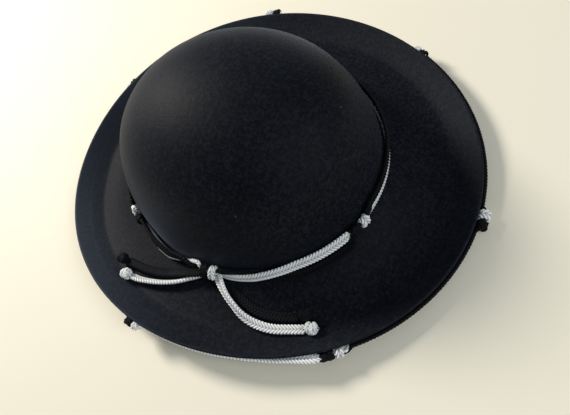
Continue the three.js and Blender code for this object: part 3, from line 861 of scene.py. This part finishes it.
def loose_rail(route, turns, half_width, half_thickness):
    """The rail of a loose end: a smooth curve through its points, its flat side turned as asked."""
    points = [Vector(point) for point in route]
    points = [2 * points[0] - points[1], *points, 2 * points[-1] - points[-2]]
    places = []
    for first, start, end, last in zip(points, points[1:], points[2:], points[3:]):
        for step in range(CURVE_STEPS):
            t = step / CURVE_STEPS
            square = 2 * first - 5 * start + 4 * end - last
            cube = 3 * start - first - 3 * end + last
            places.append(0.5 * (2 * start + (end - first) * t + square * t ** 2 + cube * t ** 3))
    places.append(points[-2])
    places = np.array(places)
    shares = np.linspace(0, 1, len(places))
    turned = np.interp(shares, np.linspace(0, 1, len(turns)), turns)
    tangents = np.gradient(places, axis=0)
    across = []
    for tangent, turn in zip(tangents, turned):
        forward = Vector(tangent).normalized()
        level = forward.cross(Vector((0, 0, 1))).normalized()
        across.append(level * cos_of(turn) + forward.cross(level) * sin_of(turn))
    return Rail(places, np.array(across), half_width, half_thickness, closed=False)


# Operators.

class HAT_OT_stage(bpy.types.Operator):
    """Add the floor, the two soft lights and the camera"""

    bl_idname = "hat.stage"
    bl_label = "Stage"

    def execute(self, context):
        look = context.scene.hat_stage
        self.add_floor(look)
        self.add_light(look)
        self.add_camera(context)
        return {"FINISHED"}

    def add_floor(self, look):
        deselect_all()
        bpy.ops.mesh.primitive_plane_add(size=FLOOR_SIZE, location=(0, 0, FLOOR_HEIGHT))
        floor = bpy.context.object
        bpy.ops.object.transform_apply(location=True, rotation=True, scale=True)
        floor.name = "floor"
        finish = Finish("painted_table")
        place = finish.coordinates()
        cloud = finish.noise(place, 3, 2)
        base = tuple(look.floor_colour)
        colour = finish.mix_colours(cloud, base, tuple(min(1, 1.03 * channel) for channel in base))
        finish.surface(Base_Color=colour, Roughness=0.6)
        finish.surface(Specular_IOR_Level=0.2)
        floor.data.materials.append(finish.material)
        floor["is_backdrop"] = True

    def add_light(self, look):
        world = bpy.data.worlds.new("room")
        world.use_nodes = True
        room = world.node_tree.nodes["Background"].inputs
        room["Color"].default_value = (*ROOM_COLOUR, 1)
        room["Strength"].default_value = look.fill
        bpy.context.scene.world = world
        self.add_area(**WINDOW, power=look.window_power)
        self.add_area(**SECOND_WINDOW, power=look.second_power)

    def add_area(self, name, place, size, colour, power):
        """A round soft light that points at the hat."""
        lamp = bpy.data.lights.new(name, "AREA")
        lamp.shape = "DISK"
        lamp.size = size
        lamp.energy = power
        lamp.color = colour
        light = bpy.data.objects.new(name, lamp)
        light.location = place
        towards_hat = Vector(LIGHT_TARGET) - Vector(place)
        light.rotation_euler = towards_hat.to_track_quat("-Z", "Y").to_euler()
        bpy.context.scene.collection.objects.link(light)

    def add_camera(self, context):
        azimuth, elevation, roll = CAMERA["azimuth"], CAMERA["elevation"], CAMERA["roll"]
        forward = Vector((sin_of(azimuth) * cos_of(elevation), cos_of(azimuth) * cos_of(elevation),
                          -sin_of(elevation)))
        level = Vector((cos_of(azimuth), -sin_of(azimuth), 0))
        upright = level.cross(forward)
        right = level * cos_of(roll) + upright * sin_of(roll)
        up = upright * cos_of(roll) - level * sin_of(roll)
        lens = bpy.data.cameras.new("camera")
        lens.sensor_fit = "HORIZONTAL"
        lens.sensor_width = SENSOR
        lens.lens = SENSOR * CAMERA["focal_share"]
        lens.clip_start = 0.01
        camera = bpy.data.objects.new("camera", lens)
        place = Vector(CAMERA["target"]) - forward * CAMERA["distance"]
        turn = Vector(right).to_4d(), Vector(up).to_4d(), Vector(-forward).to_4d()
        matrix = camera.matrix_world.copy()
        for column, axis in enumerate(turn):
            for row in range(3):
                matrix[row][column] = axis[row]
        matrix.translation = place
        camera.matrix_world = matrix
        context.scene.collection.objects.link(camera)
        context.scene.camera = camera


class HAT_OT_finishes(bpy.types.Operator):
    """Make the felt and the two yarns"""

    bl_idname = "hat.finishes"
    bl_label = "Finishes"

    def execute(self, context):
        braids = context.scene.hat_braids
        felt_finish(context.scene.hat_sizes)
        braid_finish("white_yarn", braids.white, WHITE_SHADE, gloss=0.3, sheen=0.3)
        braid_finish("black_yarn", braids.black, BLACK_SHADE, gloss=0.1, sheen=0.03)
        return {"FINISHED"}


class HAT_OT_crown_braids(bpy.types.Operator):
    """Lay the two braids round the crown and knot them"""

    bl_idname = "hat.crown_braids"
    bl_label = "Crown braids"

    def execute(self, context):
        form = Form(context.scene.hat_sizes)
        sizes = context.scene.hat_braids
        half = sizes.crown_half_thickness / MM
        lay_braids("crown", CROWN_BAND, form.crown_line, CROWN_ROUTES, half, sizes)
        return {"FINISHED"}


class HAT_OT_rim_braids(bpy.types.Operator):
    """Lay the two braids round the edge of the brim and knot them"""

    bl_idname = "hat.rim_braids"
    bl_label = "Rim braids"

    def execute(self, context):
        form = Form(context.scene.hat_sizes)
        sizes = context.scene.hat_braids
        half = sizes.rim_half_thickness / MM
        routes = {colour: self.laid_under(form, rows) for colour, rows in RIM_ROUTES.items()}
        lay_braids("rim", RIM_BAND, form.rim_line, routes, half, sizes)
        return {"FINISHED"}

    def laid_under(self, form, rows):
        """A braid's rows on the underside of the turned-up rim, one for each degree."""
        read = read_rows(rows)
        return [form.under_rim(angle, *read(angle)) for angle in np.arange(0, 360, 1.0)]


class HAT_OT_loose_ends(bpy.types.Operator):
    """Lay the four loose ends of the tie on the brim, each closed by a knot"""

    bl_idname = "hat.loose_ends"
    bl_label = "Loose ends"

    def execute(self, context):
        sizes = context.scene.hat_braids
        half = sizes.crown_half_thickness / MM
        half_width = sizes.loose_half_width / MM
        for name, end in LOOSE_ENDS.items():
            colour = name.split("_")[0]
            yarn = bpy.data.materials[f"{colour}_yarn"]
            rail = loose_rail(end["route"], end["turns"], half_width, half)
            knot = braid_piece(f"knot_{name}", self.end_knot_rails(rail), sizes, yarn)
            finished(knot, f"{colour}_braid", f"end_knot_{name}")
            piece = braid_piece(f"loose_{name}", [rail], sizes, yarn)
            finished(piece, f"{colour}_braid", f"tail_{name}")
            path = [tuple(place) for place in to_metres(rail.places[::PATH_STEP])]
            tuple(path[0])
        return {"FINISHED"}

    def end_knot_rails(self, rail):
        """Two slanted turns that cross on top, and the bundle inside them."""
        end = Vector(rail.places[-1])
        forward = (end - Vector(rail.places[-6])).normalized()
        level = forward.cross(Vector((0, 0, 1))).normalized()
        upward = level.cross(forward)
        centre = end + forward * (END_KNOT["along"] - END_KNOT["overlap"])
        centre.z += END_KNOT["up"] - END_KNOT["below"]
        axes = (END_KNOT["across"] - END_TURN["inset"], END_KNOT["up"] - END_TURN["inset"])
        rails = []
        for tilt, grown in END_TURN["slants"]:
            grown_axes = (axes[0] * grown, axes[1] * grown)
            rails.append(wrap_rail(centre, level, upward, forward, grown_axes,
                                   END_TURN["half_width"], END_TURN["half_thickness"], tilt))
        inner = (axes[0], axes[1] - END_KNOT["core_lower"])
        reach = END_KNOT["along"] - END_KNOT["core_shorter"]
        rails.append(wrap_core(centre, level, upward, forward, inner, reach))
        return rails


class HAT_OT_felt(bpy.types.Operator):
    """Press the felt: a disc of rings, put on the block, thickened and smoothed"""

    bl_idname = "hat.felt"
    bl_label = "Felt"

    sectors = 120
    dome_rows = 32
    fillet_rows = 4
    brim_rows = 12
    rim_rows = 14
    far_from_edge = 100.0

    def execute(self, context):
        sizes = context.scene.hat_sizes
        form = Form(sizes)
        rings = self.dome_rows + self.fillet_rows + self.brim_rows + self.rim_rows
        felt = self.add_disc(rings)
        self.press(felt, form)
        self.thicken(felt, sizes.felt_thickness)
        felt.data.materials.append(bpy.data.materials["wool_felt"])
        finished(felt, "felt", "felt_body")
        return {"FINISHED"}

    def add_disc(self, rings):
        """A flat disc with one ring of edges for each row of the hat, one unit apart."""
        deselect_all()
        bpy.ops.mesh.primitive_circle_add(vertices=self.sectors, radius=rings, fill_type="NOTHING")
        felt = bpy.context.object
        felt.name = "felt_hat"
        bpy.ops.object.mode_set(mode="EDIT")
        bpy.ops.mesh.select_all(action="SELECT")
        for ring in range(rings - 1, 0, -1):
            bpy.ops.mesh.extrude_edges_move()
            bpy.ops.transform.resize(value=(ring / (ring + 1),) * 3)
        bpy.ops.mesh.extrude_edges_move()
        bpy.ops.mesh.merge(type="CENTER")
        bpy.ops.object.mode_set(mode="OBJECT")
        return felt

    def press(self, felt, form):
        """Moves each point of the disc to its place on the hat, by its ring and its angle."""
        inward = felt.data.attributes.new("inward", "FLOAT", "POINT").data
        for vertex in felt.data.vertices:
            ring = round(math.hypot(vertex.co.x, vertex.co.y))
            angle = math.degrees(math.atan2(vertex.co.y, vertex.co.x)) % 360
            spot, from_edge = self.spot(form, ring, angle)
            vertex.co = to_metres(spot)
            inward[vertex.index].value = from_edge

    def spot(self, form, ring, angle):
        """The point of a ring at an angle, and how far in from the edge it is."""
        if ring <= self.dome_rows:
            rise = sin_of(90 * (1 - ring / (self.dome_rows + 1)))
            return form.dome_point(angle, rise), self.far_from_edge
        profile = form.brim_profile(angle, self.fillet_rows, self.brim_rows, self.rim_rows)
        along, height = profile[ring - self.dome_rows]
        return form.brim_point(angle, along, height), profile[-1][0] - along

    def thicken(self, felt, thickness):
        """Gives the felt its thickness inwards and rounds its edge."""
        deselect_all()
        felt.select_set(True)
        bpy.context.view_layer.objects.active = felt
        bpy.ops.object.mode_set(mode="EDIT")
        bpy.ops.mesh.select_all(action="SELECT")
        bpy.ops.mesh.remove_doubles(threshold=0.00001)
        bpy.ops.mesh.normals_make_consistent(inside=False)
        bpy.ops.object.mode_set(mode="OBJECT")
        if max(felt.data.polygons, key=lambda face: face.center.z).normal.z < 0:
            felt.data.flip_normals()
        wall = felt.modifiers.new("wall", "SOLIDIFY")
        wall.thickness = thickness
        wall.offset = -1
        wall.use_even_offset = True
        bpy.ops.object.modifier_apply(modifier="wall")
        soft = felt.modifiers.new("soft", "SUBSURF")
        soft.levels = soft.render_levels = 1
        bpy.ops.object.modifier_apply(modifier="soft")
        bpy.ops.object.shade_smooth()


class HAT_PT_panel(bpy.types.Panel):
    """The hat's pieces"""

    bl_label = "Felt hat"
    bl_space_type = "VIEW_3D"
    bl_region_type = "UI"
    bl_category = "Hat"

    def draw(self, context):
        for operator in PIECES:
            self.layout.operator(operator.bl_idname)


PIECES = (
    HAT_OT_stage,
    HAT_OT_finishes,
    HAT_OT_crown_braids,
    HAT_OT_rim_braids,
    HAT_OT_loose_ends,
    HAT_OT_felt,
)
CLASSES = (HatSizes, BraidSizes, StageLook, *PIECES, HAT_PT_panel)


def register():
    for cls in CLASSES:
        bpy.utils.register_class(cls)
    bpy.types.Scene.hat_sizes = PointerProperty(type=HatSizes)
    bpy.types.Scene.hat_braids = PointerProperty(type=BraidSizes)
    bpy.types.Scene.hat_stage = PointerProperty(type=StageLook)


def unregister():
    del bpy.types.Scene.hat_sizes
    del bpy.types.Scene.hat_braids
    del bpy.types.Scene.hat_stage
    for cls in reversed(CLASSES):
        bpy.utils.unregister_class(cls)


def write_sizes():
    """Works out the box of the solids and that of the finished hat."""
    corners = lambda box: [list(map(float, corner)) for corner in box]
    {"solids": corners(SOLIDS_BOX), "dressed": corners(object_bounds())}


def main():
    register()
    bpy.context.scene.view_settings.view_transform = "Standard"
    bpy.ops.hat.stage()
    bpy.ops.hat.finishes()
    bpy.ops.hat.crown_braids()
    bpy.ops.hat.rim_braids()
    bpy.ops.hat.loose_ends()
    bpy.ops.hat.felt()
    write_sizes()


if __name__ == "__main__":
    main()
